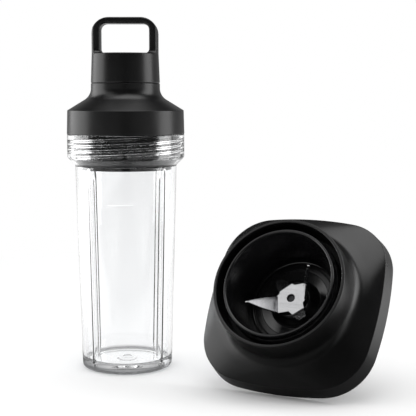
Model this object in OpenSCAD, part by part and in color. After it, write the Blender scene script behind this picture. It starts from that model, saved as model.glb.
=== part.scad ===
// Personal blender set: a clear jar closed by its travel lid, and beside it the
// blade base leaning on its lower edge. Millimetres, +Z up, jar axis at the origin.

/* [Jar] */
// Height of the jar's rim above the counter
jar_height = 166.2; // [150:0.1:180]
// Outer radius of the jar body just above the foot
body_low_r = 32; // [28:0.1:36]
// Outer radius of the jar body just under the neck
body_top_r = 35.7; // [32:0.1:40]
// Height at which the body turns out to the neck
body_top_z = 144.5; // [130:0.1:155]
// Outer radius of the neck
neck_r = 41.2; // [38:0.1:44]
// Height at which the neck starts
neck_z = 150; // [140:0.1:158]
// Wall thickness of the jar body
jar_wall = 2.5; // [1.5:0.1:4]
// Height of the jar's inner floor
jar_floor_z = 6.5; // [4:0.1:10]
// Radius of the ring the jar stands on
foot_r = 29; // [25:0.1:32]
// Width of each upright flute
flute_w = 4.6; // [4:0.1:10]
// Depth of each upright flute
flute_depth = 0.8; // [0.5:0.1:1.6]

/* [Jar thread] */
// Bore of the neck between the thread ridges
neck_bore_r = 38.8; // [38:0.05:39.2]
// Height of a thread ridge
ridge_h = 1; // [0.6:0.05:1.4]
// Rise of one full turn of the three-start thread
lead = 10.8; // [9:0.1:12]
// Rise of each ridge from its start to its end
ridge_rise = 13.6; // [8:0.1:14]
// Radius of the lid's and the base's core inside the ridges
core_r = 37.45; // [36.5:0.05:37.6]

/* [Lid] */
// Outer radius of the lid skirt at its lower edge
skirt_low_r = 41.35; // [40:0.05:43]
// Outer radius of the lid skirt at its top edge
skirt_top_r = 40.9; // [40:0.05:43]
// Height of the lid skirt's top edge
skirt_top_z = 182.8; // [175:0.1:190]
// Height of the bottom of the threaded plug
plug_z = 141.6; // [136:0.1:150]
// Radius of the lid's own neck under the cap
lid_neck_r = 24.2; // [20:0.1:28]
// Radius of the fillet between the shoulder and that neck
shoulder_fillet = 9.5; // [4:0.1:12]
// Height of the seam between lid and cap
seam_z = 201.6; // [196:0.1:206]
// Width of the seam
seam_gap = 0.3; // [0.3:0.05:1]
// Wall thickness of the lid parts
lid_wall = 2; // [1.5:0.1:3]

/* [Spout and cap] */
// Core radius of the drinking spout
spout_r = 18.9; // [15:0.1:20]
// Height of the spout's rim
spout_top_z = 216.5; // [210:0.1:219]
// Rise of one full turn of the two-start cap thread
cap_lead = 6; // [4:0.1:8]
// Outer radius of the cap where the loop starts
cap_top_r = 23.4; // [20:0.1:26]
// Height of the cap's top face
cap_top_z = 222.5; // [218:0.1:228]
// Height of the top of the carrying loop
loop_top_z = 247.4; // [240:0.1:260]
// Depth of the loop from front to back
loop_depth = 15.6; // [12:0.1:26]
// Half the width of the loop's opening
loop_gap = 17.1; // [12:0.1:18]
// Thickness of the loop's top bar
loop_bar = 4.35; // [3:0.05:7]

/* [Blade base] */
// Height of the base from its bottom plane to its lip
base_h = 43.8; // [40:0.1:50]
// Half the width of the base at its bottom plane
bottom_half = 61.3; // [55:0.01:65]
// Half the width of the base at the top edge of its rim wall
rim_half = 59.9; // [54:0.01:64]
// Height of the rim wall
rim_h = 12.9; // [8:0.1:18]
// Radius of the bulged sides
side_r = 230; // [150:1:260]
// Distance of each corner's centre from the middle, along X and along Y
corner_at = 25.5; // [15:0.1:35]
// Inner radius of the collar's lip
lip_r = 42.3; // [41.5:0.05:43]
// Outer radius of the collar's lip
collar_r = 44.5; // [43.5:0.05:46]
// Radius of the collar's foot fillet
collar_fillet = 8; // [4:0.1:12]
// Wall thickness of the cover
cover_wall = 2.4; // [1.8:0.1:3]

/* [Blade base position] */
// Angle the base leans back from lying flat
base_lean = 57.615; // [0:0.001:90]
// Angle the base is turned towards the jar
base_turn = 27.396; // [0:0.001:60]
// Distance of the base's middle to the right of the jar axis
base_x = 119.18; // [100:0.01:140]
// Distance of the base's middle in front of the jar axis
base_y = 54.05; // [30:0.01:80]

/* [Cup and blade] */
// Height of the groove's floor, which the jar's rim comes down to
groove_z = 24.2; // [20:0.1:28]
// Inner radius of the cup at its top
cup_top_r = 35.5; // [34:0.1:36]
// Height of the blade plate's top face
blade_z = 17.6; // [14:0.1:22]
// Thickness of the blade sheet
blade_t = 1.5; // [1:0.1:2.5]
// Radius of the drive shaft
shaft_r = 4; // [3:0.1:6]
// Radius of the shaft's riveted end in the blade
rivet_r = 2.8; // [2:0.1:4]
// Radius of the drive coupling
coupling_r = 11; // [8:0.1:12.5]

/* [Hidden] */
$fn = 96;
thread_steps = 40;
starts = 3;
pitch = lead / starts;
root_fillet = 5;
ridge_root_w = 1.7;
ridge_crest_w = 0.8;
bite = 0.3;
cap_starts = 2;
cap_pitch = cap_lead / cap_starts;
core_crest_r = core_r + ridge_h + 0.05;
ledge_z = 144;
thread_z = 150.6;
plug_r = body_top_r - jar_wall - 0.9;
body_slope = atan((body_top_r - body_low_r) / (body_top_z - 5));
flute_tool_r = (flute_w * flute_w / 4 + flute_depth * flute_depth) / (2 * flute_depth);
corner_r = side_r - sqrt(pow(corner_at, 2) + pow(corner_at + side_r - rim_half, 2));
side_a = atan(corner_at / (corner_at + side_r - rim_half));
base_z = bottom_half * sin(base_lean);
shoulder_a = atan(10.8 / 17);

// Which part is shown

// ---------- shared shapes ----------

// a ridge that climbs the wall like a thread, faded out at both ends
module ridge(root, crest, lead, rise, root_w, crest_w, steps) {
  turn = rise / lead * 360;
  n = ceil(rise / lead * steps);
  in = crest < root;
  pts = [for (i = [0 : n])
    let (a = i / n * turn, e = min(a, turn - a), k = min(1, 0.35 + 0.65 * e / 30),
         c = root + (crest - root) * k)
    each [for (q = [[root, -root_w / 2], [c, -crest_w / 2], [c, crest_w / 2], [root, root_w / 2]])
      [q[0] * cos(a), q[0] * sin(a), i / n * rise + q[1]]]];
  quads = [for (i = [0 : n - 1], k = [0 : 3])
    let (p = 4 * i + k, q = 4 * i + (k + 1) % 4) each [[p, q, q + 4], [p, q + 4, p + 4]]];
  ends = [[0, 2, 1], [0, 3, 2], [4 * n, 4 * n + 1, 4 * n + 2], [4 * n, 4 * n + 2, 4 * n + 3]];
  all = concat(quads, ends);
  polyhedron(pts, in ? [for (f = all) [f[0], f[2], f[1]]] : all, convexity = 6);
}

module ridges(root, crest, z0, phase) {
  for (k = [0 : starts - 1])
    translate([0, 0, z0]) rotate(phase + 360 / starts * k)
      ridge(root, crest, lead, ridge_rise, ridge_root_w, ridge_crest_w, thread_steps);
}

module cap_ridges(root, crest, z0, rise, phase) {
  for (k = [0 : cap_starts - 1])
    translate([0, 0, z0]) rotate(phase + 360 / cap_starts * k)
      ridge(root, crest, cap_lead, rise, 1.4, 0.7, 30);
}

function arc(cx, cy, r, a0, a1, n) =
  [for (i = [0 : n]) let (a = a0 + (a1 - a0) * i / n) [cx + r * cos(a), cy + r * sin(a)]];

module round_slab(half, y0, y1, top_r, low_r) {
  polygon(concat(
    arc(half - low_r, y0 + low_r, low_r, -90, 0, 8), arc(half - top_r, y1 - top_r, top_r, 0, 90, 10),
    arc(top_r - half, y1 - top_r, top_r, 90, 180, 10), arc(low_r - half, y0 + low_r, low_r, 180, 270, 8)));
}

// the base's rounded square, grown by d all round
module rim_outline(d) {
  polygon([for (q = [0 : 3]) each [for (p = concat(
    arc(corner_at, corner_at, corner_r + d, side_a, 90 - side_a, 9),
    arc(0, rim_half - side_r, side_r + d, 90 - side_a, 90 + side_a, 5)))
    [p[0] * cos(90 * q) - p[1] * sin(90 * q), p[0] * sin(90 * q) + p[1] * cos(90 * q)]]]);
}

module ring(r_out, r_in, z0, z1) {
  translate([0, 0, z0]) difference() {
    cylinder(h = z1 - z0, r = r_out);
    translate([0, 0, -1]) cylinder(h = z1 - z0 + 2, r = r_in);
  }
}

module at_base() {
  translate([base_x, -base_y, base_z]) rotate([base_lean, 0, -base_turn]) children();
}

// ---------- jar ----------

module flute_line(r, top) {
  for (a = [50 : 90 : 320]) rotate(a)
    translate([body_low_r - flute_depth + flute_tool_r, 0, 7]) rotate([0, body_slope, 0]) {
      cylinder(h = top, r = r);
      translate([0, 0, top]) sphere(r = r);
      sphere(r = r);
    }
}

module jar() color([0.85, 0.88, 0.9, 0.4]) {
  difference() {
    rotate_extrude() polygon(concat([[0, 0], [6, 0], [7.4, 1.2], [foot_r - 5, 1.2], [foot_r - 3.5, 0], [foot_r, 0]],
      arc(foot_r - 1, 4, 4, -70, 0, 6),
      [[body_top_r, body_top_z], [neck_r - 0.6, neck_z - 0.6], [neck_r, neck_z + 0.4],
       [neck_r, jar_height - 0.5], [neck_r - 0.5, jar_height], [0, jar_height]]));
    flute_line(flute_tool_r, 134.5);
    difference() {
      rotate_extrude() polygon(concat([[0, jar_floor_z]],
        arc(body_low_r - jar_wall - 3, jar_floor_z + 3, 3, -90, 0, 6),
        [[body_top_r - jar_wall, ledge_z], [neck_bore_r, ledge_z + neck_bore_r - body_top_r + jar_wall],
         [neck_bore_r, jar_height - 0.6],
         [neck_bore_r + 0.6, jar_height + 0.01], [0, jar_height + 0.01]]));
      flute_line(flute_tool_r + jar_wall - 0.3, 128);
    }
  }
  ridges(neck_bore_r + bite, neck_bore_r - ridge_h, thread_z, 203);
}

// ---------- lid ----------

module lid_seal() color([0.16, 0.16, 0.17])
  rotate_extrude() polygon([[plug_r + 0.05, ledge_z + 0.2], [plug_r + 0.7, ledge_z + 0.2],
    [plug_r + 4.2, ledge_z + 3.7], [plug_r + 4.2, ledge_z + 4.6], [plug_r + 0.05, ledge_z + 4.6]]);

module lid_core() color([0.1, 0.1, 0.11]) {
  difference() {
    rotate_extrude() polygon([
      [plug_r, plug_z], [plug_r, ledge_z + 4.65], [core_r, ledge_z + 4.65], [core_r, jar_height - 0.6],
      [38, jar_height + 0.6], [39.2, jar_height + 0.6], [39.2, 168.6], [36, 168.6], [36, 179], [26, 185.2], [spout_r, 190.5],
      [spout_r, spout_top_z - 0.4], [spout_r - 0.4, spout_top_z], [spout_r - 2.2, spout_top_z],
      [spout_r - 2.2, 189.4], [24.8, 183.4], [34, 177.6], [34, 166.4], [35.4, 164.9],
      [35.4, ledge_z + 7.4], [plug_r - 1.9, ledge_z + 6.2], [plug_r - 1.9, plug_z]]);
  }
  ridges(core_r - bite, core_crest_r, thread_z, 203 + 360 / starts / 2);
  cap_ridges(spout_r - bite, spout_r + 1, 204.4, 8.2, 30);
}

module lid_cover() color([0.12, 0.12, 0.13])
  rotate_extrude() polygon(concat(
    [[39.4, jar_height + 0.1], [skirt_low_r - 0.4, jar_height + 0.1], [skirt_low_r, jar_height + 0.5],
     [skirt_top_r, skirt_top_z - 0.5], [skirt_top_r - 0.5, skirt_top_z]],
    [for (p = arc(lid_neck_r + shoulder_fillet, 198.4, shoulder_fillet,
      270 - shoulder_a, 180, 8)) p],
    [[lid_neck_r, seam_z], [lid_neck_r - 2.2, seam_z],
     [lid_neck_r - 2.2, 192.9], [27.9, 187.9], [36.4, 182.4], [39.1, 180.2], [39.4, 168.7]]));

// ---------- cap ----------

module cap_seal() color([0.2, 0.2, 0.21])
  ring(19.9, spout_r - 2.4, spout_top_z + 0.1, spout_top_z + 1.5);

module cap_liner() color([0.1, 0.1, 0.11]) {
  difference() {
    translate([0, 0, seam_z + seam_gap]) cylinder(h = 18.7 - seam_gap, r = 21.5);
    translate([0, 0, seam_z - 0.5]) cylinder(h = 17, r = 20.3);
  }
  cap_ridges(20.3 + bite, 19.3, 204.4 + cap_pitch / 2, 8.2, 30);
}

// the loop's legs swell into the cap through a fillet, front and back
module loop_root() {
  polygon(concat([[-loop_depth / 2 - root_fillet, cap_top_z - 5], [loop_depth / 2 + root_fillet, cap_top_z - 5]],
    arc(loop_depth / 2 + root_fillet, cap_top_z + root_fillet - 1, root_fillet, 270, 180, 8),
    arc(-loop_depth / 2 - root_fillet, cap_top_z + root_fillet - 1, root_fillet, 0, -90, 8)));
}

module cap_shell() color([0.12, 0.12, 0.13])
  difference() {
    union() {
      rotate_extrude() polygon([[0, seam_z + seam_gap], [lid_neck_r - 0.3, seam_z + seam_gap],
        [lid_neck_r, seam_z + seam_gap + 0.3], [cap_top_r, cap_top_z - 0.8], [cap_top_r - 0.8, cap_top_z], [0, cap_top_z]]);
      intersection() {
        cylinder(h = 300, r = cap_top_r);
        union() {
          translate([0, loop_depth / 2, 0]) rotate([90, 0, 0])
            linear_extrude(loop_depth) round_slab(cap_top_r, cap_top_z - 8, loop_top_z, 12.3, 0.5);
          rotate([90, 0, 90]) translate([0, 0, -30]) linear_extrude(60) loop_root();
        }
      }
    }
    translate([0, 40, 0]) rotate([90, 0, 0])
      linear_extrude(80) round_slab(loop_gap, cap_top_z, loop_top_z - loop_bar, 4.5, 3);
    translate([0, 0, seam_z - 1]) cylinder(h = 19.7, r = 21.5);
  }

// ---------- blade base: fixed parts ----------

module cover_body(d, low, top) {
  hull() {
    translate([0, 0, low]) linear_extrude(0.01) rim_outline(bottom_half - rim_half - d);
    translate([0, 0, rim_h - d / 2]) linear_extrude(0.01) rim_outline(-d);
    translate([0, 0, top]) cylinder(h = 0.01, r = 51 - d);
  }
}

module base_cover() color([0.13, 0.13, 0.14]) at_base() {
  difference() {
    union() {
      cover_body(0, 0, 18.9);
      rotate_extrude() polygon(concat([[0, 14], [51, 14], [51, 18.9]],
        arc(45 + collar_fillet, 18.9 + collar_fillet, collar_fillet, 250, 180, 8),
        [[collar_r, base_h - 0.7], [collar_r - 0.7, base_h], [0, base_h]]));
    }
    cover_body(cover_wall, -0.02, 18.9 - cover_wall);
    translate([0, 0, -1]) cylinder(h = groove_z + 1, r = 43.7);
    translate([0, 0, groove_z - 1]) cylinder(h = 40, r = lip_r);
  }
  difference() {
    intersection() {
      cover_body(1, 0, 17.9);
      union() {
        ring(48.3, 46.9, 5.2, 17.6);
        ring(55.8, 54.5, 5.2, 16);
        for (a = [45 : 90 : 315]) rotate(a) translate([52.5, 0, 5.2]) cylinder(h = 10, r = 3.6);
      }
    }
    for (a = [45 : 90 : 315]) rotate(a) translate([52.5, 0, 5]) cylinder(h = 10, r = 1.5);
  }
}

module base_frame() color([0.15, 0.15, 0.16]) at_base()
  difference() {
    union() {
      translate([0, 0, 2.6]) linear_extrude(2.4) rim_outline(-cover_wall - 0.7);
      cylinder(h = 21.4, r = 43.3);
      for (a = [0 : 90 : 270]) rotate(a) translate([49, 0, 0.6]) ring(3, 1.6, 0, 2.2);
    }
    translate([0, 0, -1]) cylinder(h = 30, r = 41.2);
    translate([0, 0, -1]) cylinder(h = 3.6, r = 43.4);
    for (a = [45 : 90 : 315]) rotate(a) translate([52.5, 0, 2]) cylinder(h = 4, r = 1.7);
  }

module screw(a) color([0.7, 0.7, 0.72]) at_base()
  rotate(a) translate([52.5, 0, 0]) difference() {
    union() {
      translate([0, 0, 0.9]) cylinder(h = 1.7, r1 = 2.4, r2 = 3);
      translate([0, 0, 2.5]) cylinder(h = 10.5, r = 1.45);
    }
    for (b = [0, 90]) rotate(b) translate([-1.7, -0.35, 0.4]) cube([3.4, 0.7, 1.4]);
  }

module base_screw_1() screw(45);
module base_screw_2() screw(135);
module base_screw_3() screw(225);
module base_screw_4() screw(315);

module blade_cup() color([0.05, 0.05, 0.06]) at_base() {
  difference() {
    rotate_extrude() polygon([
      [8.6, 9.2], [8.6, 14.4], [11.6, 14.4], [12.4, 13.8], [16.2, 8], [17.4, 7.4], [23.2, 9],
      [23.5, 9.8], [26.9, 9.8], [27.3, 6.9], [29, 6.9], [29.3, 8.3], [29.9, 8.7], [30.5, 10.6],
      [cup_top_r - 0.4, base_h - 1], [cup_top_r, base_h - 0.3],
      [cup_top_r + 0.5, base_h], [core_r - 0.5, base_h], [core_r, base_h - 0.6], [core_r, groove_z],
      [43.2, groove_z], [43.2, 21.6], [core_r - 0.3, 21.6], [35, 18.6], [33.2, 10], [31.8, 6.2],
      [30.2, 5.1], [26.9, 5.1], [26.2, 6.9], [24.2, 7.4], [23.2, 6.8], [17.6, 5.2], [15.6, 5.4],
      [14, 7.2], [13, 9.2]]);
  }
  ridges(core_r - bite, core_crest_r, groove_z + 3.4, 43);
}

module cup_seal() color([0.18, 0.18, 0.19]) at_base()
  ring(41.9, core_r + 0.1, groove_z, groove_z + 1.8);

module bearing_housing() color([0.75, 0.62, 0.32]) at_base()
  difference() {
    union() {
      translate([0, 0, 7.2]) cylinder(h = 7.4, r = 8.5);
      translate([0, 0, 14.5]) cylinder(h = 0.5, r = 10);
    }
    translate([0, 0, 5]) cylinder(h = 20, r = 6.5);
  }

module housing_nut() color([0.7, 0.7, 0.72]) at_base()
  difference() {
    translate([0, 0, 7.3]) cylinder(h = 1.8, r = 11.4);
    translate([0, 0, 6]) cylinder(h = 5, r = 8.6);
    for (a = [0 : 90 : 270]) rotate(a) translate([10.2, -1, 6]) cube([3, 2, 4]);
  }

module bearing(z0, z1) ring(6.4, shaft_r + 0.04, z0, z1);
module bearing_upper() color([0.8, 0.66, 0.35]) at_base() bearing(12.2, 14.8);
module bearing_lower() color([0.8, 0.66, 0.35]) at_base() bearing(7.4, 10);
module shaft_seal() color([0.15, 0.15, 0.15]) at_base() ring(6.4, shaft_r + 0.35, 10.2, 12);

// ---------- blade base: turning parts ----------

module drive_shaft() color([0.72, 0.73, 0.75]) at_base()
  difference() {
    union() {
      translate([0, 0, 0.7]) cylinder(h = 14.9, r = shaft_r);
      translate([0, 0, 15.5]) cylinder(h = 1.9, r = rivet_r);
    }
    ring(5, 3.4, 1.3, 2.1);
  }

module blade_spacer() color([0.72, 0.73, 0.75]) at_base()
  ring(6.2, rivet_r + 0.02, 15.62, blade_z - blade_t - 0.02);

// a flat arm, its root along Y at x = 0, pointing along +X
module arm(root_w, reach, tip_y, tip_w)
  linear_extrude(blade_t) polygon([[-0.4, -root_w / 2], [0, -root_w / 2], [reach * 0.55, -root_w / 2 + 0.55 * (tip_y - tip_w / 2 + root_w / 2) - 0.5],
    [reach, tip_y - tip_w / 2], [reach, tip_y + tip_w / 2], [reach * 0.55, root_w / 2 - 0.55 * (root_w / 2 - tip_y - tip_w / 2) + 0.5],
    [0, root_w / 2], [-0.4, root_w / 2]]);

// an arm folded up by lift degrees on a fold line at dist from the axis
module folded(dir, dist, side, lift, root_w, reach, tip_y, tip_w)
  rotate(dir) translate([dist, side, 0]) rotate([0, -lift, 0]) arm(root_w, reach, tip_y, tip_w);

module blade() color([0.82, 0.83, 0.85]) at_base() translate([0, 0, blade_z - blade_t])
  difference() {
    union() {
      linear_extrude(blade_t) polygon([[-10.2, 0.3], [-8.7, 1.9], [-8.7, 3.8], [-1.6, 10.2], [0.5, 9.4],
        [6.8, 11.3], [10.2, 0], [9, -2.4], [10.6, -6.2], [4, -11.6], [0.5, -9.4], [-7, -11.4]]);
      folded(194.6, 9.9, 2.9, 62.8, 12.1, 28.2, 6.3, 0.5);
      folded(16.4, 9.9, 2.6, 66, 11.8, 28.6, 5.2, 0.5);
      folded(132.3, 8.7, 0.2, -20, 9.5, 11, 0.8, 3.2);
      folded(-50.6, 11.4, -0.2, 20, 8.5, 8.1, 0.6, 5);
    }
    translate([0, 0, -1]) cylinder(h = 4, r = rivet_r + 0.02);
  }

module thrust_washer() color([0.85, 0.85, 0.82]) at_base()
  ring(6.3, shaft_r + 0.05, 6.5, 7.1);

module coupling_hub() color([0.7, 0.71, 0.73]) at_base() {
  ring(7, shaft_r + 0.02, 2.3, 6.4);
}

module coupling_drive() color([0.1, 0.1, 0.11]) at_base()
  translate([0, 0, 2.3]) difference() {
    linear_extrude(3.9) polygon([for (a = [0 : 60 : 300]) each
      [for (q = [[8.4, -22], [8.4, -14], [coupling_r, -9], [coupling_r, 9], [8.4, 14], [8.4, 22]])
        [q[0] * cos(a + q[1]), q[0] * sin(a + q[1])]]]);
    translate([0, 0, -1]) cylinder(h = 6, r = 7.02);
  }

module circlip() color([0.55, 0.56, 0.58]) at_base()
  difference() {
    ring(5.4, 3.45, 1.4, 2.0);
    translate([0, -1.2, 0]) cube([8, 2.4, 3]);
  }

jar();
lid_seal();
lid_core();
lid_cover();
cap_seal();
cap_liner();
cap_shell();
base_cover();
base_frame();
base_screw_1();
base_screw_2();
base_screw_3();
base_screw_4();
blade_cup();
cup_seal();
bearing_housing();
housing_nut();
bearing_upper();
bearing_lower();
shaft_seal();
drive_shaft();
blade_spacer();
blade();
thrust_washer();
coupling_hub();
coupling_drive();
circlip();
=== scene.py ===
import bpy
import bmesh
import math
from mathutils import Matrix, Vector


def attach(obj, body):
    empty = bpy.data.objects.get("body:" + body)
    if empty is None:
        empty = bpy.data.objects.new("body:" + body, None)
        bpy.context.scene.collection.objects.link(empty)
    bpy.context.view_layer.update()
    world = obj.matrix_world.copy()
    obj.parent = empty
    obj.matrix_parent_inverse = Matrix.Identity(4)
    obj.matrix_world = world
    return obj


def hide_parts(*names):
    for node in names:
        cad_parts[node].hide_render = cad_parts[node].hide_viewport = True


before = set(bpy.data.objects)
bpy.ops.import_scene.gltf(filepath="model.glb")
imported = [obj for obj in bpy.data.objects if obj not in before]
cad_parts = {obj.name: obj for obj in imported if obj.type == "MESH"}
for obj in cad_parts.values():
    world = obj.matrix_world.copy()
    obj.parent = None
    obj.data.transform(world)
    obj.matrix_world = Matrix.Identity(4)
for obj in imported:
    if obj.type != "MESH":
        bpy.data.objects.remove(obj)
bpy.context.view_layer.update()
MM = 0.001
TAU = 2 * math.pi

# the blade base stands on its edge and leans back; its own frame has its bottom plane at z = 0
BASE_AT = (119.18, -54.05, 51.766)
BASE_TURN = -27.396
BASE_LEAN = 57.615
BASE = (Matrix.Translation(BASE_AT) @ Matrix.Rotation(math.radians(BASE_TURN), 4, "Z")
        @ Matrix.Rotation(math.radians(BASE_LEAN), 4, "X"))
UP = Matrix.Identity(4)


# ---------- mesh helpers, all lengths in millimetres ----------

def put(name, verts, faces, place, body, mat, nodes, bevel=None, weighted=True):
    """a mesh piece that rides on a body and stands for the named CAD nodes"""
    mesh = bpy.data.meshes.new(name)
    mesh.from_pydata([tuple((place @ Vector(v)) * MM) for v in verts], [], faces)
    bm = bmesh.new()
    bm.from_mesh(mesh)
    bmesh.ops.remove_doubles(bm, verts=bm.verts, dist=2e-6)
    bmesh.ops.dissolve_degenerate(bm, edges=bm.edges, dist=1e-6)
    bmesh.ops.recalc_face_normals(bm, faces=bm.faces)
    bm.to_mesh(mesh)
    bm.free()
    for p in mesh.polygons:
        p.use_smooth = True
    obj = bpy.data.objects.new(name, mesh)
    bpy.context.collection.objects.link(obj)
    if bevel:
        b = obj.modifiers.new("edges", "BEVEL")
        b.width = bevel[0] * MM
        b.segments = bevel[1]
        b.limit_method = "ANGLE"
        b.angle_limit = math.radians(bevel[2])
        b.harden_normals = True
    if weighted:
        w = obj.modifiers.new("normals", "WEIGHTED_NORMAL")
        w.keep_sharp = True
    mesh.materials.append(mat)
    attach(obj, body)
    if nodes:
        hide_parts(*nodes)
    return obj


def rounded(pts, steps=None, hold=0.45):
    """rows (r, z, tag) along a closed outline of (r, z, corner radius, tag of the run that starts here)"""
    steps = steps or {}
    n = len(pts)
    rows = []
    ends = []
    for i in range(n):
        p, a, b = Vector(pts[i][:2]), Vector(pts[i - 1][:2]), Vector(pts[(i + 1) % n][:2])
        u, v = (a - p), (b - p)
        lu, lv = u.length, v.length
        u, v = u / lu, v / lv
        ang = math.acos(max(-1, min(1, u.dot(v))))
        rad = pts[i][2]
        if rad <= 0 or ang > math.radians(176):
            ends.append((p, p, [p]))
            continue
        t = min(rad / math.tan(ang / 2), 0.46 * lu, 0.46 * lv)
        rad = t * math.tan(ang / 2)
        c = p + (u + v).normalized() * (rad / math.sin(ang / 2))
        p0, p1 = p + u * t, p + v * t
        a0, a1 = (p0 - c), (p1 - c)
        s = math.atan2(a0.x * a1.y - a0.y * a1.x, a0.dot(a1))
        k = max(2, int(abs(s) / math.radians(16)) + 1)
        arc = []
        for j in range(k + 1):
            w = s * j / k
            cos_w, sin_w = math.cos(w), math.sin(w)
            arc.append(c + Vector((a0.x * cos_w - a0.y * sin_w, a0.x * sin_w + a0.y * cos_w)))
        ends.append((p0, p1, arc))
    for i in range(n):
        for q in ends[i][2]:
            rows.append((q.x, q.y, ""))
        tag = pts[i][3] if len(pts[i]) > 3 else ""
        q0, q1 = ends[i][1], ends[(i + 1) % n][0]
        d = (q1 - q0).length
        if tag in steps:
            if callable(steps[tag]):
                ts = steps[tag](q0, q1)
            else:
                k = max(2, int(d / steps[tag]))
                ts = [j / k for j in range(1, k)]
            for t in ts:
                q = q0.lerp(q1, t)
                rows.append((q.x, q.y, tag))
        elif d > 3.2 * hold:
            for t in (hold / d, 1 - hold / d):
                q = q0.lerp(q1, t)
                rows.append((q.x, q.y, tag))
    return rows


def spin(rows, thetas, rad=None, closed=True):
    """vertices and faces of rows (r, z, tag) turned about Z"""
    verts, index = [], []
    for r, z, tag in rows:
        if r < 1e-6:
            verts.append((0, 0, z))
            index.append([len(verts) - 1] * len(thetas))
            continue
        line = []
        for t in thetas:
            q = rad(tag, r, z, t) if rad and tag else r
            line.append(len(verts))
            verts.append((q * math.cos(t), q * math.sin(t), z))
        index.append(line)
    faces = []
    m = len(thetas)
    for i in range(len(rows) if closed else len(rows) - 1):
        a, b = index[i], index[(i + 1) % len(rows)]
        for j in range(m):
            f = []
            for k in (a[j], a[(j + 1) % m], b[(j + 1) % m], b[j]):
                if k not in f:
                    f.append(k)
            if len(f) > 2:
                faces.append(f)
    return verts, faces


def even(n):
    return [TAU * i / n for i in range(n)]


def merge(*parts):
    verts, faces = [], []
    for v, f in parts:
        k = len(verts)
        verts += v
        faces += [[i + k for i in q] for q in f]
    return verts, faces


def lathe(name, pts, body, mat, nodes, n=160, place=UP, steps=None, rad=None, hold=0.45):
    """a piece turned about its axis from a closed outline, n points round"""
    v, f = spin(rounded(pts, steps, hold), even(n), rad)
    return put(name, v, f, place, body, mat, nodes)


# ---------- materials ----------

def tree(name):
    mat = bpy.data.materials.new(name)
    mat.use_nodes = True
    nt = mat.node_tree
    return mat, nt, nt.nodes["Principled BSDF"], nt.nodes["Material Output"]


def coords(nt, scale=(1, 1, 1), turn=None):
    c = nt.nodes.new("ShaderNodeTexCoord")
    m = nt.nodes.new("ShaderNodeMapping")
    m.inputs["Scale"].default_value = scale
    nt.links.new(c.outputs["Object"], m.inputs["Vector"])
    if turn is None:
        return m.outputs["Vector"]
    r = nt.nodes.new("ShaderNodeMapping")
    r.inputs["Rotation"].default_value = turn
    nt.links.new(c.outputs["Object"], r.inputs["Vector"])
    nt.links.new(r.outputs["Vector"], m.inputs["Vector"])
    return m.outputs["Vector"]


def noise(nt, vec, scale, detail=3.0, rough=0.5):
    n = nt.nodes.new("ShaderNodeTexNoise")
    n.inputs["Scale"].default_value = scale
    n.inputs["Detail"].default_value = detail
    n.inputs["Roughness"].default_value = rough
    nt.links.new(vec, n.inputs["Vector"])
    return n.outputs["Fac"]


def span(nt, fac, lo, hi, a=0.3, b=0.7):
    m = nt.nodes.new("ShaderNodeMapRange")
    m.inputs["From Min"].default_value, m.inputs["From Max"].default_value = a, b
    m.inputs["To Min"].default_value, m.inputs["To Max"].default_value = lo, hi
    nt.links.new(fac, m.inputs["Value"])
    return m.outputs["Result"]


def blend_colour(nt, fac, a, b):
    m = nt.nodes.new("ShaderNodeMix")
    m.data_type = "RGBA"
    m.inputs["A"].default_value, m.inputs["B"].default_value = (*a, 1), (*b, 1)
    nt.links.new(fac, m.inputs["Factor"])
    return m.outputs["Result"]


def bump(nt, height, strength, distance):
    b = nt.nodes.new("ShaderNodeBump")
    b.inputs["Strength"].default_value, b.inputs["Distance"].default_value = strength, distance
    nt.links.new(height, b.inputs["Height"])
    return b.outputs["Normal"]


def maths(nt, kind, a, b):
    """a math node of two values, each a number or a socket"""
    m = nt.nodes.new("ShaderNodeMath")
    m.operation = kind
    for k, v in enumerate((a, b)):
        if isinstance(v, (int, float)):
            m.inputs[k].default_value = v
        else:
            nt.links.new(v, m.inputs[k])
    return m.outputs[0]


def smooth(nt, sock, a, b, lo=0.0, hi=1.0):
    """a smooth step of a socket from lo at a to hi at b"""
    m = nt.nodes.new("ShaderNodeMapRange")
    m.interpolation_type = "SMOOTHSTEP"
    m.inputs["From Min"].default_value, m.inputs["From Max"].default_value = a, b
    m.inputs["To Min"].default_value, m.inputs["To Max"].default_value = lo, hi
    nt.links.new(sock, m.inputs["Value"])
    return m.outputs["Result"]


def mix_shaders(nt, factor, first, second):
    m = nt.nodes.new("ShaderNodeMixShader")
    for k, sock in enumerate((factor, first, second)):
        nt.links.new(sock, m.inputs[k])
    return m.outputs[0]


def moulded(name, dark, light, rough, grain, depth, spec=0.5, rough_var=0.04):
    """moulded plastic: a fine spark-eroded grain, cloudy shifts in tone and sheen, sparse rubbed specks"""
    mat, nt, p, _ = tree(name)
    v = coords(nt)
    cloud = noise(nt, v, 38, 4)
    fine = noise(nt, v, grain, 2, 0.6)
    specks = noise(nt, v, grain * 0.21, 5, 0.7)
    nt.links.new(blend_colour(nt, span(nt, cloud, 0, 1), dark, light), p.inputs["Base Color"])
    sheen = maths(nt, "ADD", span(nt, cloud, rough - rough_var, rough + rough_var),
                  span(nt, specks, 0, 0.05, 0.55, 0.75))
    nt.links.new(sheen, p.inputs["Roughness"])
    nt.links.new(bump(nt, fine, 0.35, depth), p.inputs["Normal"])
    p.inputs["Specular IOR Level"].default_value = spec
    return mat


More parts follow.
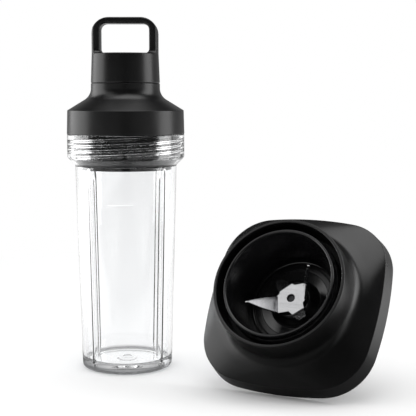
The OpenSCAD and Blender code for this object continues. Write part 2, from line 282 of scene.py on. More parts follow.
def steel(name, tone, rough, turn=None, along=(40, 900, 900), depth=6e-6):
    """steel with a directional grind, faint colour shifts and small scratches"""
    mat, nt, p, _ = tree(name)
    g = noise(nt, coords(nt, along, turn), 1.0, 4, 0.6)
    c = noise(nt, coords(nt), 90, 3)
    nt.links.new(blend_colour(nt, span(nt, c, 0, 1), [t * 0.93 for t in tone], tone), p.inputs["Base Color"])
    p.inputs["Metallic"].default_value = 1
    nt.links.new(span(nt, g, rough - 0.06, rough + 0.08), p.inputs["Roughness"])
    nt.links.new(bump(nt, g, 0.4, depth), p.inputs["Normal"])
    return mat


# painted shade on the foot, standing for the dark seen through its thick plastic: it fades out over these
# heights, and inside this ring the foot stays clear (metres)
FOOT_SHADE_FADE = (0.0046, 0.0080)
FOOT_SHADE_RING = (0.0262, 0.0284)
FOOT_SHADE = (0.13, 0.132, 0.136, 1)


def clear(name, tint, rough, wave):
    """clear plastic: light goes through it, with the slow ripple of a moulded wall and painted shade on the
    foot
    """
    mat, nt, p, out = tree(name)
    slow = noise(nt, coords(nt, (1, 1, 0.25)), 45, 2)
    fine = noise(nt, coords(nt), 260, 3)
    body = blend_colour(nt, span(nt, slow, 0, 1), [t * 0.985 for t in tint], tint)
    sep = nt.nodes.new("ShaderNodeSeparateXYZ")
    nt.links.new(coords(nt), sep.inputs[0])
    foot = nt.nodes.new("ShaderNodeMix")
    foot.data_type = "RGBA"
    flat = nt.nodes.new("ShaderNodeCombineXYZ")
    nt.links.new(sep.outputs["X"], flat.inputs["X"])
    nt.links.new(sep.outputs["Y"], flat.inputs["Y"])
    far = nt.nodes.new("ShaderNodeVectorMath")
    far.operation = "LENGTH"
    nt.links.new(flat.outputs[0], far.inputs[0])
    # painted shade: low on the foot and outside the clear centre, the base colour turns near black
    above = span(nt, sep.outputs["Z"], 0, 1, *FOOT_SHADE_FADE)
    inside = span(nt, far.outputs["Value"], 1, 0, *FOOT_SHADE_RING)
    nt.links.new(maths(nt, "MAXIMUM", above, inside), foot.inputs["Factor"])
    foot.inputs["A"].default_value = FOOT_SHADE
    nt.links.new(body, foot.inputs["B"])
    nt.links.new(foot.outputs["Result"], p.inputs["Base Color"])
    nt.links.new(span(nt, fine, rough * 0.6, rough * 1.6), p.inputs["Roughness"])
    nt.links.new(bump(nt, slow, 0.25, wave), p.inputs["Normal"])
    p.inputs["IOR"].default_value = 1.5
    p.inputs["Transmission Weight"].default_value = 1
    path = nt.nodes.new("ShaderNodeLightPath")
    see = nt.nodes.new("ShaderNodeBsdfTransparent")
    see.inputs["Color"].default_value = (0.9, 0.91, 0.92, 1)
    both = mix_shaders(nt, path.outputs["Is Shadow Ray"], p.outputs[0], see.outputs[0])
    nt.links.new(both, out.inputs["Surface"])
    return mat


local_turn = tuple(BASE.to_3x3().inverted().to_euler())
SATIN = moulded("satin_black", (0.0016, 0.0016, 0.0018), (0.003, 0.003, 0.0032), 0.31, 2600, 1.1e-5)
SATIN_BASE = moulded("satin_black_base", (0.0016, 0.0016, 0.0018), (0.003, 0.003, 0.0032), 0.31, 2600, 1.1e-5)
GLOSS = moulded("gloss_black", (0.003, 0.003, 0.0035), (0.005, 0.005, 0.0055), 0.22, 700, 3e-6,
                rough_var=0.03)
INNER = moulded("inner_black", (0.002, 0.002, 0.0022), (0.004, 0.004, 0.0042), 0.26, 1800, 8e-6)
RUBBER = moulded("seal_rubber", (0.010, 0.010, 0.011), (0.016, 0.016, 0.017), 0.55, 1500, 1.6e-5, spec=0.35)
CLEAR = clear("clear_plastic", (0.985, 0.99, 0.995), 0.012, 1.6e-4)
BLADE = steel("blade_steel", (0.62, 0.62, 0.63), 0.20, local_turn, depth=1.5e-6)
SHAFT = steel("shaft_steel", (0.05, 0.05, 0.052), 0.32, local_turn, (600, 600, 60))
SCREW = steel("screw_steel", (0.62, 0.62, 0.64), 0.30, local_turn, (700, 700, 120))
BRONZE = steel("bearing_bronze", (0.62, 0.43, 0.20), 0.42, local_turn, (700, 700, 200))
WASHER = moulded("washer_white", (0.62, 0.61, 0.57), (0.72, 0.71, 0.67), 0.45, 1400, 1e-5)


# ---------- jar ----------

FLUTE_W = 4.6
FLUTE_DEPTH = 0.8
FLUTE_R = (FLUTE_W * FLUTE_W / 4 + FLUTE_DEPTH * FLUTE_DEPTH) / (2 * FLUTE_DEPTH)
FLUTE_AT = 50
FOOT_R = 32
# the flutes' straight run starts at this height
FLUTE_LOW = 7
# the body's radius grows by 3.7 mm over 139.5 mm of height
SLOPE = 3.7 / 139.5
# the three-start thread of the neck, the plug and the bowl: rise in one turn, rise of each ridge, starts
LEAD, RIDGE_RISE, STARTS = 10.8, 13.6, 3
NECK_THREAD_Z = 150.6


def turn_gap(a, b):
    return (a - b + math.pi) % TAU - math.pi


def soft_min(a, b, k):
    h = max(0.0, min(1.0, 0.5 + 0.5 * (b - a) / k))
    return b + (a - b) * h - k * h * (1 - h)


def scoop(r, z, t, tool, top, k):
    """radius after the four upright flutes have been pressed into a wall of radius r"""
    d = FOOT_R - FLUTE_DEPTH + FLUTE_R + (z - FLUTE_LOW) * SLOPE
    best = r
    for i in range(4):
        g = turn_gap(t, math.radians(FLUTE_AT + 90 * i))
        if abs(g) < 0.4:
            if z > top:
                d2 = z - top
            elif z < FLUTE_LOW:
                d2 = FLUTE_LOW - z
            else:
                d2 = 0
            q = tool * tool - d2 * d2 - (d * math.sin(g)) ** 2
            if q > 0:
                best = soft_min(best, d * math.cos(g) - math.sqrt(q), k)
    return min(best, r)


def ridge_at(z, t, z0, phase, lead, rise, starts, root, crest):
    """share of a thread ridge's height at height z and angle t"""
    best = 0.0
    full = rise / lead * TAU
    for k in range(starts):
        a = (t - phase - TAU / starts * k) % TAU
        while a <= full:
            d = abs(z - (z0 + a / TAU * lead))
            if d < root:
                h = 1.0 if d < crest else (root - d) / (root - crest)
                h = h * h * (3 - 2 * h)
                e1 = math.degrees(min(a, full - a))
                best = max(best, h * min(1, 0.35 + 0.65 * e1 / 30))
            a += TAU
    return best


# plain raised bars on the front: height, half their thickness, from x, to x, how far they stand out
MARKS = [(119.0, 0.32, -10.4, 6.6, 0.22), (66.6, 0.3, -5, 1.5, 0.12),
         (63.4, 0.3, -6, 6, 0.12), (28.0, 0.3, -9, 8, 0.10)]


def jar_r(tag, r, z, t):
    if tag == "out":
        q = scoop(r, z, t, FLUTE_R, 141.4, 0.45)
        x = r * math.cos(t)
        if math.sin(t) < 0:
            for mz, half, x0, x1, h in MARKS:
                if abs(z - mz) < half and x0 < x < x1:
                    q += h
        return q
    if tag == "in":
        return scoop(r, z, t, FLUTE_R + 2.2, 135, 0.8)
    if tag == "thread":
        return r - 1.0 * ridge_at(z, t, NECK_THREAD_Z, math.radians(203), LEAD, RIDGE_RISE, STARTS, 0.95, 0.4)
    return r


def out_rows(q0, q1):
    """heights along the outside of the body: closer at the flutes' ends and at the raised marks"""
    zs = set([4.5, 5, 5.5, 6, 6.5] + [7 + 3.3 * i for i in range(40)] + [138 + 0.5 * i for i in range(13)])
    for mz, half, _, _, _ in MARKS:
        zs |= {mz - half - 0.12, mz - half + 0.04, mz + half - 0.04, mz + half + 0.12}
    d = q1.y - q0.y
    return sorted(t for t in ((z - q0.y) / d for z in zs) if 0.004 < t < 0.996)


def in_rows(q0, q1):
    zs = [140.5 - 0.6 * i for i in range(16)] + [128 - 4 * i for i in range(30)] + [9.7, 9.2, 8.8]
    d = q1.y - q0.y
    return sorted(t for t in ((z - q0.y) / d for z in zs) if 0.004 < t < 0.996)


angles = set()
for i in range(4):
    c = FLUTE_AT + 90 * i
    for j in range(-32, 33):
        angles.add(round(c + j * 0.28, 3) % 360)
for j in range(240):
    a = j * 1.5
    if all(abs((a - (FLUTE_AT + 90 * i) + 180) % 360 - 180) > 9.3 for i in range(4)):
        angles.add(a)
JAR_T = [math.radians(a) for a in sorted(angles)]
jar_pts = [
    (0, 0, 0), (6, 0, 0.4), (7.4, 1.2, 0.4), (24, 1.2, 0.4), (25.5, 0, 0.5), (28.6, 0, 1.2), (31.6, 1.4, 2.6),
    (32.0, 4.2, 1.5, "out"), (35.7, 144.5, 0.8), (40.6, 149.4, 1.2), (41.2, 150.4, 0.8),
    (41.2, 166.2, 0.35), (39.4, 166.2, 0.35), (38.8, 165.6, 0.2, "thread"),
    (38.8, 149.6, 0.4), (33.2, 144, 0.5, "in"), (29.5, 6.5, 3.0), (4.9, 6.5, 0.2), (4.3, 6.9, 0.2),
    (3.3, 6.9, 0.2), (2.7, 6.5, 0.2), (0, 6.5, 0)]
v, f = spin(rounded(jar_pts, {"out": out_rows, "in": in_rows, "thread": 0.3}), JAR_T, jar_r, closed=False)
put("jar_shell", v, f, UP, "jar", CLEAR, ["jar"])

# ---------- lid ----------

CORE_R, CREST = 37.45, 1.05


def core_r(tag, r, z, t):
    if tag == "thread":
        start = math.radians(263)
        return r + CREST * ridge_at(z, t, NECK_THREAD_Z, start, LEAD, RIDGE_RISE, STARTS, 0.85, 0.4)
    if tag == "spout":
        return r + 1.0 * ridge_at(z, t, 204.4, math.radians(30), 6, 8.2, 2, 0.7, 0.35)
    return r


lathe("lid_plug", [
    (32.3, 141.6, 0.5), (32.3, 148.65, 0.3), (CORE_R, 148.65, 0.4, "thread"), (CORE_R, 165.6, 0.3),
    (38, 166.8, 0.2), (39.2, 166.8, 0.3), (39.2, 168.6, 0.3), (36, 168.6, 0.8), (36, 179, 2), (26, 185.2, 2),
    (18.9, 190.5, 1.5, "spout"), (18.9, 216.5, 0.7), (16.7, 216.5, 0.7), (16.7, 189.4, 2), (24.8, 183.4, 2),
    (34, 177.6, 2), (34, 166.4, 0.6), (35.4, 164.9, 0.6), (35.4, 151.4, 0.6), (30.4, 150.2, 0.6),
    (30.4, 141.6, 0.5)],
    "lid", INNER, ["lid_core"], 216, UP, {"thread": 0.32, "spout": 0.3}, core_r)

lathe("lid_gasket", [
    (32.35, 144.2, 0.3), (33.0, 144.2, 0.3), (36.5, 147.7, 0.4), (36.5, 148.6, 0.3), (32.35, 148.6, 0.3)],
    "lid_seal", RUBBER, ["lid_seal"], 160)

SHOULDER_R, SHOULDER_AT = 9.5, (33.7, 198.4)


def shoulder_point(degrees):
    a = math.radians(degrees)
    return SHOULDER_AT[0] + SHOULDER_R * math.cos(a), SHOULDER_AT[1] + SHOULDER_R * math.sin(a), 0


# the step to radius 23.6 closes the seam under the cap, so that no light shows through it
lathe("lid_cover_shell", [
    (39.4, 166.3, 0.2), (41.35, 166.3, 0.35), (40.9, 182.8, 0.5)]
    + [shoulder_point(237.5 - 4.79 * i) for i in range(12)]
    + [(24.2, 201.6, 0.2), (23.6, 201.6, 0), (23.6, 201.85, 0), (22, 201.85, 0), (22, 192.9, 1),
       (27.9, 187.9, 1), (36.4, 182.4, 1), (39.1, 180.2, 1), (39.4, 168.7, 0.2)],
    "lid", SATIN, ["lid_cover"], 192)

# ---------- cap with its carrying loop ----------

lathe("cap_gasket", [(16.5, 216.6, 0.3), (19.9, 216.6, 0.3), (19.9, 218, 0.3), (16.5, 218, 0.3)],
      "cap_seal", RUBBER, ["cap_seal"], 120)


CAP_TOP_R, CAP_TOP_Z = 23.4, 222.5
LOOP_EDGE = 1.2


def leg_half(z):
    """half the loop's depth at height z: the legs swell into the cap through a fillet"""
    return 7.8 if z > 226.5 else 12.8 - math.sqrt(25 - (226.5 - max(z, 221.6)) ** 2)


def cap_parts():
    """the cap's cup, and the loop as rings swept along pairs of points on its outside and its opening"""
    rows = rounded([(0, CAP_TOP_Z, 0), (CAP_TOP_R, CAP_TOP_Z, 0.75), (24.2, 201.9, 0.25), (21.5, 201.9, 0.2),
                    (21.5, 218.7, 0.8), (0, 218.7, 0)])
    body = spin(rows, even(160), None, closed=False)
    path = [((CAP_TOP_R, 219.4), (14.1, 219.4)), ((CAP_TOP_R, 221.2), (14.1, 221.2))]
    for k in range(11):
        a = math.radians(9 * k)
        path.append(((CAP_TOP_R, 222.0 + 4.5 * k / 10), (14.1 + 3 * math.sin(a), 225.5 - 3 * math.cos(a))))
    for k in range(1, 7):
        z = 226.5 + (235.1 - 226.5) * k / 6
        path.append(((CAP_TOP_R, z), (17.1, 225.5 + (238.55 - 225.5) * k / 6)))
    for k in range(1, 15):
        a = math.radians(90 * k / 14)
        path.append(((11.1 + 12.3 * math.cos(a), 235.1 + 12.3 * math.sin(a)),
                     (12.6 + 4.5 * math.cos(a), 238.55 + 4.5 * math.sin(a))))
    for k in range(1, 4):
        path.append(((11.1 * (1 - k / 4), 247.4), (12.6 * (1 - k / 4), 243.05)))
    path += [((-a[0], a[1]), (-b[0], b[1])) for a, b in reversed(path)]
    rd = LOOP_EDGE
    verts, faces = [], []
    for o, i in path:
        half = leg_half(o[1])
        ring = [(-half + rd + 2 * (half - rd) * k / 8, "o", 0.0) for k in range(9)]
        for k in range(1, 5):
            a = math.radians(90 * k / 5)
            ring.append((half - rd + rd * math.sin(a), "o", rd * (1 - math.cos(a))))
        ring += [(half, "o", rd), (half, "m", 0), (half, "i", rd)]
        for k in range(4, 0, -1):
            a = math.radians(90 * k / 5)
            ring.append((half - rd + rd * math.sin(a), "i", rd * (1 - math.cos(a))))
        ring += [(half - rd - 2 * (half - rd) * k / 8, "i", 0.0) for k in range(9)]
        for k in range(1, 5):
            a = math.radians(90 * k / 5)
            ring.append((-(half - rd + rd * math.sin(a)), "i", rd * (1 - math.cos(a))))
        ring += [(-half, "i", rd), (-half, "m", 0), (-half, "o", rd)]
        for k in range(4, 0, -1):
            a = math.radians(90 * k / 5)
            ring.append((-(half - rd + rd * math.sin(a)), "o", rd * (1 - math.cos(a))))
        for y, side, inset in ring:
            w = math.sqrt(max(0, CAP_TOP_R ** 2 - y * y))
            out, inn = Vector((max(-w, min(w, o[0])), o[1])), Vector(i)
            d = inn - out
            if side == "o":
                q = out + d.normalized() * inset
            elif side == "i":
                q = inn - d.normalized() * inset
            else:
                q = (out + inn) / 2
            verts.append((q.x, y, q.y))
    m = len(ring)
    for a in range(len(path) - 1):
        for j in range(m):
            faces.append([a * m + j, a * m + (j + 1) % m, (a + 1) * m + (j + 1) % m, (a + 1) * m + j])
    faces.append(list(range(m)))
    faces.append([(len(path) - 1) * m + j for j in reversed(range(m))])
    return body, (verts, faces)


body_part, loop_part = cap_parts()
v, f = merge(body_part, loop_part)
cap = put("cap_shell_loop", v, f, UP, "cap", SATIN, ["cap_shell"], weighted=False)
# the loop and the cup become one skin, and its steps are smoothed out
WELD = {"mode": "VOXEL", "voxel_size": 0.36 * MM, "use_smooth_shade": True}
SOFTEN = {"factor": 0.5, "iterations": 4}
for kind, name, values in (("REMESH", "weld", WELD), ("SMOOTH", "soften", SOFTEN)):
    mod = cap.modifiers.new(name, kind)
    for k, val in values.items():
        setattr(mod, k, val)

# ---------- base cover ----------

SIDE_R, CORNER_AT, RIM, RIM_FOOT = 230.0, 25.5, 59.9, 61.3
CORNER_R = SIDE_R - math.hypot(CORNER_AT, CORNER_AT + SIDE_R - RIM)
SIDE_A = math.degrees(math.atan(CORNER_AT / (CORNER_AT + SIDE_R - RIM)))


def outline():
    """normals round the rounded square, in degrees, each with the centre and radius of its arc"""
    out = []
    for q in range(4):
        r = math.radians(90 * q)

        def turned(x, y):
            return x * math.cos(r) - y * math.sin(r), x * math.sin(r) + y * math.cos(r)
        for k in range(30):
            a = SIDE_A + (90 - 2 * SIDE_A) * k / 30
            out.append((a + 90 * q, turned(CORNER_AT, CORNER_AT), CORNER_R))
        for k in range(24):
            a = 90 - SIDE_A + 2 * SIDE_A * k / 24
            out.append((a + 90 * q, turned(0, RIM - SIDE_R), SIDE_R))
    return out


LINE = outline()


def rim_ring(d, z):
    """the rounded square grown by d, at height z"""
    ring = []
    for degrees, c, r in LINE:
        a = math.radians(degrees)
        ring.append((c[0] + (r + d) * math.cos(a), c[1] + (r + d) * math.sin(a), z))
    return ring


def round_ring(r, z):
    return [(r * math.cos(math.radians(a)), r * math.sin(math.radians(a)), z) for a, _, _ in LINE]


def between(a, b, t, lift=0.0):
    return [tuple(p[i] + (q[i] - p[i]) * t + (lift if i == 2 else 0) for i in range(3)) for p, q in zip(a, b)]


def base_cover():
    """rings from the rim's foot over the shoulder and collar and down the inside; then the bosses"""
    grow = RIM_FOOT - RIM
    rings = [rim_ring(grow - 0.45, 0), rim_ring(grow - 0.13, 0.13), rim_ring(grow, 0.45),
             rim_ring(grow - 0.05, 1.0)]
    for k in range(1, 5):
        rings.append(rim_ring(grow * (1 - k / 5) - 0.02, 12.0 * k / 5 + 0.6))
    edge, inner = rim_ring(0, 12.9), round_ring(51, 18.9)
    rings += [rim_ring(0.06, 11.9), rim_ring(0.0, 12.45), rim_ring(-0.05, 12.74),
              between(edge, inner, 0.022, -0.03), between(edge, inner, 0.06), between(edge, inner, 0.1, 0.02)]
    for t in (0.2, 0.35, 0.5, 0.65, 0.8, 0.9):
        rings.append(between(edge, inner, t, 0.10 * math.sin(math.pi * t)))
    for k in range(13):
        a = math.radians(246 - 66 * k / 12)
        rings.append(round_ring(53 + 8.5 * math.cos(a) * 8 / 8.5, 26.9 + 8 * math.sin(a)))
    rings += [round_ring(44.97, 27.6), round_ring(44.75, 35), round_ring(44.53, 42.6)]
    for k in range(1, 6):
        a = math.radians(90 * k / 6)
        rings.append(round_ring(43.8 + 0.7 * math.cos(a), 43.1 + 0.7 * math.sin(a)))
    for k in range(6):
        a = math.radians(90 + 90 * k / 5)
        rings.append(round_ring(42.9 + 0.6 * math.cos(a), 43.2 + 0.6 * math.sin(a)))
    rings += [round_ring(42.3, 42.4), round_ring(42.3, 25), round_ring(42.3, 24.25), round_ring(43.7, 24.2),
              round_ring(43.7, 16.6)]
    low, root = rim_ring(-2.4, 11.7), round_ring(49.2, 16.4)
    rings += [root, between(root, low, 0.5), low, rim_ring(grow - 2.4, 0.4), rim_ring(grow - 2.2, 0)]
    m = len(LINE)
    verts = [p for r in rings for p in r]
    faces = []
    for i in range(len(rings)):
        a, b = i * m, (i + 1) % len(rings) * m
        for j in range(m):
            faces.append([a + j, a + (j + 1) % m, b + (j + 1) % m, b + j])
    parts = [(verts, faces)]
    for k in range(4):
        a = math.radians(45 + 90 * k)
        vv, ff = spin(rounded([(1.5, 5.2, 0.1), (3.6, 5.2, 0.3), (3.6, 15.0, 0), (1.5, 15.0, 0)]), even(32))
        parts.append(([(x + 52.5 * math.cos(a), y + 52.5 * math.sin(a), z) for x, y, z in vv], ff))
    return merge(*parts)


v, f = base_cover()
put("base_cover_shell", v, f, BASE, "blade_base", SATIN_BASE, ["base_cover"])


# ---------- cup ----------

def cup_r(tag, r, z, t):
    if tag == "thread":
        return r + CREST * ridge_at(z, t, 27.6, math.radians(43), LEAD, RIDGE_RISE, STARTS, 0.85, 0.4)
    return r


lathe("cup_shell", [
    (8.6, 9.2, 0.2), (8.6, 14.4, 0.3), (11.6, 14.4, 0.5), (12.4, 13.8, 0.6), (16.2, 8, 0.5), (17.4, 7.4, 0.3),
    (23.2, 9, 0.3), (23.5, 9.8, 0.2), (26.9, 9.8, 0.2), (27.3, 6.9, 0.2), (29, 6.9, 0.2), (29.3, 8.3, 0.15),
    (29.9, 8.7, 0.2), (30.5, 10.6, 0.8), (35.1, 42.8, 0.5), (35.5, 43.5, 0.3), (36, 43.8, 0.2),
    (36.95, 43.8, 0.3), (CORE_R, 43.2, 0.3, "thread"), (CORE_R, 24.2, 0.5), (43.2, 24.2, 0.4),
    (43.2, 21.6, 0.3), (37.15, 21.6, 0.5), (35, 18.6, 1),
    (33.2, 10, 2), (31.8, 6.2, 0.6), (30.2, 5.1, 0.4), (26.9, 5.1, 0.3), (26.2, 6.9, 0.3),
    (24.2, 7.4, 0.3), (23.2, 6.8, 0.3), (17.6, 5.2, 0.4), (15.6, 5.4, 0.4), (14, 7.2, 0.6), (13, 9.2, 0.4)],
    "blade_base", GLOSS, ["blade_cup"], 216, BASE, {"thread": 0.32}, cup_r)

lathe("cup_gasket", [(37.55, 24.2, 0.2), (41.9, 24.2, 0.3), (41.9, 26, 0.5), (37.55, 26, 0.5)],
      "blade_base", RUBBER, ["cup_seal"], 160, BASE)


# ---------- blade ----------

BLADE_Z, BLADE_T, BLADE_BORE = 16.1, 1.5, 2.82


def plate_part():
    """the blade's flat middle with its bore, between the four fold lines"""
    flat = [(-10.2, 0.3), (-8.7, 1.9), (-8.7, 3.8), (-1.6, 10.2), (0.5, 9.4), (6.8, 11.3), (10.2, 0),
            (9, -2.4), (10.6, -6.2), (4, -11.6), (0.5, -9.4), (-7, -11.4)]
    hole = [(BLADE_BORE * math.cos(TAU * k / 48), BLADE_BORE * math.sin(TAU * k / 48)) for k in range(48)]
    bm = bmesh.new()
    rims = []
    for pts in (flat, hole):
        vs = [bm.verts.new((x, y, BLADE_Z)) for x, y in pts]
        rims += [bm.edges.new((vs[i], vs[(i + 1) % len(vs)])) for i in range(len(vs))]
    bmesh.ops.triangle_fill(bm, edges=rims, use_beauty=True)
    low = list(bm.faces)
    up = bmesh.ops.extrude_face_region(bm, geom=low)
    for g in up["geom"]:
        if isinstance(g, bmesh.types.BMVert):
            g.co.z += BLADE_T
    bmesh.ops.recalc_face_normals(bm, faces=bm.faces)
    bmesh.ops.dissolve_limit(bm, angle_limit=math.radians(1), verts=bm.verts, edges=bm.edges)
    bm.verts.index_update()
    out = [tuple(q.co) for q in bm.verts], [[q.index for q in g.verts] for g in bm.faces]
    bm.free()
    return out


def arm_part(turn, dist, side, lift, root, reach, ty, tw):
    """a flat arm folded out of the plate"""
    line = [(-0.4, -root / 2), (0.0, -root / 2),
            (reach * 0.55, -root / 2 + 0.55 * (ty - tw / 2 + root / 2) - 0.5), (reach, ty - tw / 2),
            (reach, ty + tw / 2), (reach * 0.55, root / 2 - 0.55 * (root / 2 - ty - tw / 2) + 0.5),
            (0.0, root / 2), (-0.4, root / 2)]
    n = len(line)
    verts = [(x, y, 0.0) for x, y in line] + [(x, y, BLADE_T) for x, y in line]
    faces = [list(reversed(range(n))), list(range(n, 2 * n))]
    faces += [[i, (i + 1) % n, n + (i + 1) % n, n + i] for i in range(n)]
    m = (Matrix.Translation((0, 0, BLADE_Z)) @ Matrix.Rotation(math.radians(turn), 4, "Z")
         @ Matrix.Translation((dist, side, 0)) @ Matrix.Rotation(math.radians(-lift), 4, "Y"))
    return [tuple(m @ Vector(q)) for q in verts], faces


# each arm: direction, distance and side of its fold line, lift, width at the root, reach, and the
# side and width of its tip
v, f = merge(plate_part(),
             arm_part(194.6, 9.9, 2.9, 62.8, 12.1, 28.2, 6.3, 0.5),
             arm_part(16.4, 9.9, 2.6, 66, 11.8, 28.6, 5.2, 0.5),
             arm_part(132.3, 8.7, 0.2, -20, 9.5, 11, 0.8, 3.2),
             arm_part(-50.6, 11.4, -0.2, 20, 8.5, 8.1, 0.6, 5))
put("blade_stamping", v, f, BASE, "drive", BLADE, ["blade"], bevel=(0.07, 2, 25))

lathe("shaft_end", [
    (0, 0.7, 0), (3.6, 0.7, 0.3), (4, 1.1, 0.2), (4, 1.3, 0.05), (3.4, 1.3, 0.05), (3.4, 2.1, 0.05),
    (4, 2.1, 0.05), (4, 15.6, 0.2), (2.8, 15.6, 0.1), (2.8, 17.0, 0.3), (2.3, 17.25, 0.2),
    (1.9, 16.7, 0.2), (0, 16.6, 0)],
    "drive", SHAFT, ["drive_shaft"], 72, BASE, hold=0.2)

# ---------- the CAD nodes that stay get their own materials ----------

KEPT_NODES = (
    (SCREW, ("base_screw_1", "base_screw_2", "base_screw_3", "base_screw_4", "circlip", "housing_nut")),
    (BRONZE, ("bearing_upper", "bearing_lower")),
    (RUBBER, ("shaft_seal",)),
    (SHAFT, ("blade_spacer", "coupling_hub", "bearing_housing")),
    (WASHER, ("thrust_washer",)),
    (SATIN_BASE, ("base_frame",)),
    (INNER, ("coupling_drive", "cap_liner")))
for mat, names in KEPT_NODES:
    for name in names:
        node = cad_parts[name]
        if node.data.materials:
            for i in range(len(node.data.materials)):
                node.data.materials[i] = mat
        else:
            node.data.materials.append(mat)

# ---------- floor, light, camera ----------

bm = bmesh.new()
bmesh.ops.create_circle(bm, cap_ends=True, segments=96, radius=3.0)
mesh = bpy.data.meshes.new("floor")
bm.to_mesh(mesh)
bm.free()
floor = bpy.data.objects.new("floor", mesh)
bpy.context.collection.objects.link(floor)
fmat, nt, p, _ = tree("floor_white")
p.inputs["Roughness"].default_value = 0.75
p.inputs["Specular IOR Level"].default_value = 0.2
# mirrored rays see the floor darker in front, and so do rays through the clear wall once they have been
# mirrored; far off, the floor glows into the white sweep, and partly so for rays through the wall
at = nt.nodes.new("ShaderNodeSeparateXYZ")
nt.links.new(coords(nt), at.inputs[0])
rays = nt.nodes.new("ShaderNodeLightPath").outputs
glossy, through_wall = rays["Is Glossy Ray"], rays["Is Transmission Ray"]
SET_X = 0.08
aside = maths(nt, "ABSOLUTE", maths(nt, "SUBTRACT", at.outputs["X"], SET_X), 0.0)
in_front = span(nt, at.outputs["Y"], 0.015, 0.7, -0.17, 0.08)
near = maths(nt, "MAXIMUM", in_front, span(nt, aside, 0.0, 1.0, 0.12, 0.26))
first_hit = maths(nt, "LESS_THAN", rays["Glossy Depth"], 0.5)
rear = maths(nt, "MAXIMUM", span(nt, at.outputs["Y"], 0.05, 1.0, -0.26, -0.08), first_hit)
gate = maths(nt, "SUBTRACT", 1.0, maths(nt, "MULTIPLY", through_wall, maths(nt, "SUBTRACT", 1.0, rear)))
mirrored = maths(nt, "MULTIPLY", glossy, maths(nt, "SUBTRACT", 1.0, near))
level = maths(nt, "MULTIPLY", gate, maths(nt, "SUBTRACT", 1.0, mirrored))
tone = nt.nodes.new("ShaderNodeMix")
tone.data_type = "RGBA"
tone.inputs["A"].default_value = (0, 0, 0, 1)
nt.links.new(level, tone.inputs["Factor"])
pale = blend_colour(nt, noise(nt, coords(nt), 3, 2), (0.79, 0.79, 0.79), (0.81, 0.81, 0.81))
nt.links.new(pale, tone.inputs["B"])
nt.links.new(tone.outputs["Result"], p.inputs["Base Color"])
dist = nt.nodes.new("ShaderNodeVectorMath")
dist.operation = "DISTANCE"
nt.links.new(coords(nt), dist.inputs[0])
dist.inputs[1].default_value = (0.07, -0.03, 0)
away = smooth(nt, dist.outputs["Value"], 0.22, 0.60)
glow = nt.nodes.new("ShaderNodeEmission")
glow.inputs["Color"].default_value = (1, 1, 1, 1)
nt.links.new(span(nt, through_wall, 1.0, 1.3, 0.0, 1.0), glow.inputs["Strength"])
far = maths(nt, "MULTIPLY", away, maths(nt, "MULTIPLY", gate, maths(nt, "SUBTRACT", 1.0, glossy)))
lit_wall = maths(nt, "MULTIPLY", 0.6, maths(nt, "MULTIPLY", through_wall, rear))
sweep = mix_shaders(nt, maths(nt, "MAXIMUM", far, lit_wall), p.outputs[0], glow.outputs[0])
nt.links.new(sweep, nt.nodes["Material Output"].inputs["Surface"])
mesh.materials.append(fmat)

world = bpy.data.worlds.new("studio")
bpy.context.scene.world = world
world.use_nodes = True
wt = world.node_tree
wt.nodes.clear()
wo = wt.nodes.new("ShaderNodeOutputWorld")
bg = wt.nodes.new("ShaderNodeBackground")
white = wt.nodes.new("ShaderNodeBackground")
rays = wt.nodes.new("ShaderNodeLightPath").outputs
tc = wt.nodes.new("ShaderNodeTexCoord")
sep = wt.nodes.new("ShaderNodeSeparateXYZ")
wt.links.new(tc.outputs["Generated"], sep.inputs[0])
y, z = sep.outputs["Y"], sep.outputs["Z"]

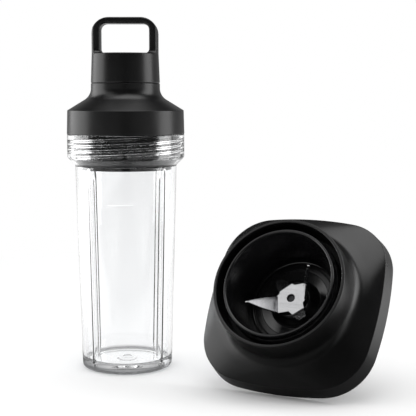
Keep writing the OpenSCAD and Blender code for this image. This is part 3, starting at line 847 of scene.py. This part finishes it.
# dark in front, paler behind, bright overhead; through the clear wall it is a white sweep, and diffuse
# light gets an even level. The camera itself sees plain white
behind = maths(wt, "MULTIPLY", smooth(wt, y, 0.0, 0.5, 0.05, 0.28), smooth(wt, z, 0.35, 0.65, 1.0, 0.12))
over = smooth(wt, z, 0.8, 0.96, 0.0, 1.2)
straight = maths(wt, "MULTIPLY", 1.3, maths(wt, "LESS_THAN", rays["Glossy Depth"], 0.5))
wall = maths(wt, "MAXIMUM", straight, smooth(wt, y, -0.5, 0.0, 0.03, 1.3))
through = maths(wt, "MULTIPLY", wall, rays["Is Transmission Ray"])
even_sky = maths(wt, "MULTIPLY", 0.76, rays["Is Diffuse Ray"])
strength = maths(wt, "MAXIMUM", maths(wt, "MAXIMUM", behind, over), maths(wt, "MAXIMUM", through, even_sky))
wt.links.new(strength, bg.inputs["Strength"])
# each kind of ray sees its own sky, so the sky is only sampled by the rays themselves
world.cycles.sampling_method = "NONE"
bg.inputs["Color"].default_value = (1, 1, 1, 1)
white.inputs["Color"].default_value = (1, 1, 1, 1)
white.inputs["Strength"].default_value = 1.0
sky = mix_shaders(wt, rays["Is Camera Ray"], bg.outputs[0], white.outputs[0])
wt.links.new(sky, wo.inputs["Surface"])


def softbox(name, azimuth, elevation, distance, size, power, aim=(0.05, 0, 0.1)):
    """azimuth from the camera's side, to the right"""
    a, h = math.radians(azimuth), math.radians(elevation)
    light = bpy.data.lights.new(name, "AREA")
    light.shape = "RECTANGLE"
    light.size, light.size_y = size
    light.energy = power
    obj = bpy.data.objects.new(name, light)
    towards = Vector((math.sin(a) * math.cos(h), -math.cos(a) * math.cos(h), math.sin(h)))
    obj.location = Vector(aim) + towards * distance
    obj.rotation_mode = "QUATERNION"
    obj.rotation_quaternion = (Vector(aim) - obj.location).to_track_quat("-Z", "Y")
    bpy.context.collection.objects.link(obj)


softbox("left_box", -102, 15, 1.15, (1.25, 1.0), 9.3)
softbox("right_box", 87, 18, 1.15, (0.70, 1.2), 8.0)
softbox("key_box", -65, 47, 1.2, (0.6, 0.6), 1.1)
softbox("top_box", 40, 80, 1.3, (1.0, 1.0), 4.6)

# the camera's height, distance, tilt and lens were fitted to the jar and the base; there is no shift
cam = bpy.data.objects.new("camera", bpy.data.cameras.new("camera"))
cam.data.sensor_width = 36
cam.data.lens = 96.50
cam.location = (0.05803, -0.78873, 0.19451)
CAMERA_TILT = 5.857
cam.rotation_euler = (math.radians(90 - CAMERA_TILT), 0, 0)
bpy.context.collection.objects.link(cam)
scene = bpy.context.scene
scene.camera = cam
scene.view_settings.view_transform = "Standard"
scene.cycles.use_denoising = True
scene.cycles.max_bounces = 24
scene.cycles.transmission_bounces = 20
scene.cycles.transparent_max_bounces = 24
scene.cycles.blur_glossy = 0.5

bpy.context.view_layer.update()
